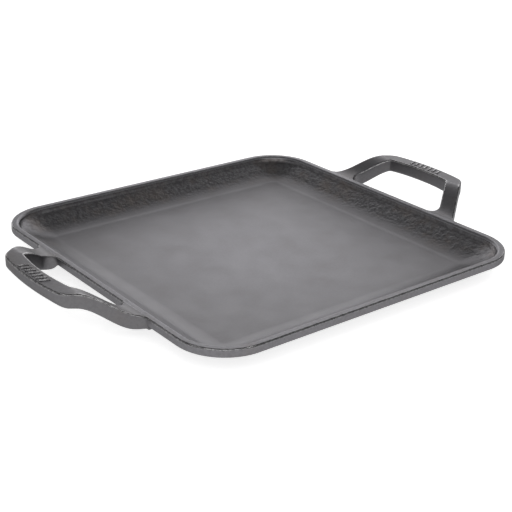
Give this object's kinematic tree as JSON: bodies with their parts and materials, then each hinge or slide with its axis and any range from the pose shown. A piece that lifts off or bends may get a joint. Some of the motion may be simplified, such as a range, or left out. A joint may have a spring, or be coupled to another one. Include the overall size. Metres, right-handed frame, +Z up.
{
  "type": "square cast iron griddle skillet",
  "caption": "Shallow square cast iron skillet with flared walls, a flat rim and a raised loop handle on each of two opposite sides.",
  "frame": {"origin": "centre of the flat underside, on the surface that the pan rests on", "axes": "+Z up out of the cooking floor, +X from the left handle to the right handle, +Y across the pan"},
  "size_m": [0.371, 0.28, 0.0343],
  "materials": {
    "casting": "seasoned, as cast, fine pebbled skin",
    "cooking_face": "seasoned, smoothed satin"
  },
  "bodies": {
    "root": {"cooking_floor": "cooking_face", "side_wall": "casting", "rim": "casting", "left_handle": "casting", "right_handle": "casting", "left_grip_ribs": "casting", "right_grip_ribs": "casting"}
  },
  "joints": []
}
